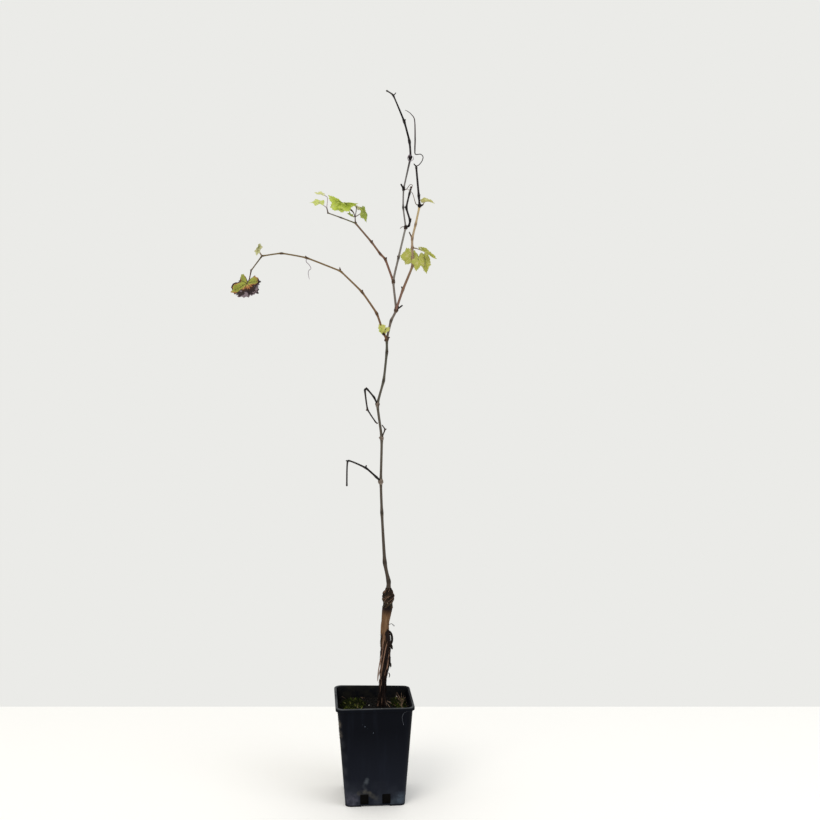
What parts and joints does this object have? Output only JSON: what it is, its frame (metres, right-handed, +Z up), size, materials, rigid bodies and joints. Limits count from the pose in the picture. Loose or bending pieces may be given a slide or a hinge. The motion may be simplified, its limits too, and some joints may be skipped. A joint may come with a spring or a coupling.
{
  "type": "potted grapevine",
  "caption": "Young grafted grapevine with bare woody stems, sparse late-season leaves and tendrils, growing in a square deep nursery pot.",
  "frame": {"origin": "middle of the pot's flat underside, on the surface the pot stands on", "axes": "+Z up along the vine; +X and +Y along the pot's sides; the long left shoot reaches towards -X and -Y is the front"},
  "size_m": [0.3742, 0.2804, 1.3501],
  "materials": {
    "pot": "satin",
    "soil": "matte",
    "old_bark": "matte",
    "stem_bark": "matte",
    "cane": "satin",
    "dead_wood": "matte",
    "tendril": "matte",
    "leaf": "satin",
    "withered": "matte"
  },
  "bodies": {
    "root": {"pot": "pot", "potting_soil": "soil", "rootstock_trunk": "old_bark", "graft_union": "old_bark", "main_stem_lower": "stem_bark", "main_stem_middle": "stem_bark", "main_stem_upper": "dead_wood", "left_shoot_rising": "cane", "left_shoot_level": "cane", "left_shoot_drooping": "cane", "upper_left_shoot": "cane", "upper_left_twig": "cane", "right_shoot": "cane", "right_dead_cane": "dead_wood", "dead_twig_low": "dead_wood", "dead_twig_stub": "dead_wood", "dead_twig_looped": "dead_wood", "dead_twig_upper": "dead_wood", "right_shoot_spur": "cane", "tendril_top": "tendril", "tendril_right": "tendril", "tendril_stem": "tendril", "tendril_curl": "tendril", "tendril_hanging": "tendril", "tendril_node": "tendril", "foliage_fork": "leaf", "foliage_left_end": "leaf", "foliage_withered": "withered", "foliage_upper_left_tip": "leaf", "foliage_upper_left_lateral": "leaf", "foliage_right_behind": "leaf", "foliage_right_hanging": "leaf", "foliage_right_upper": "leaf", "foliage_right_top": "leaf"}
  },
  "joints": []
}
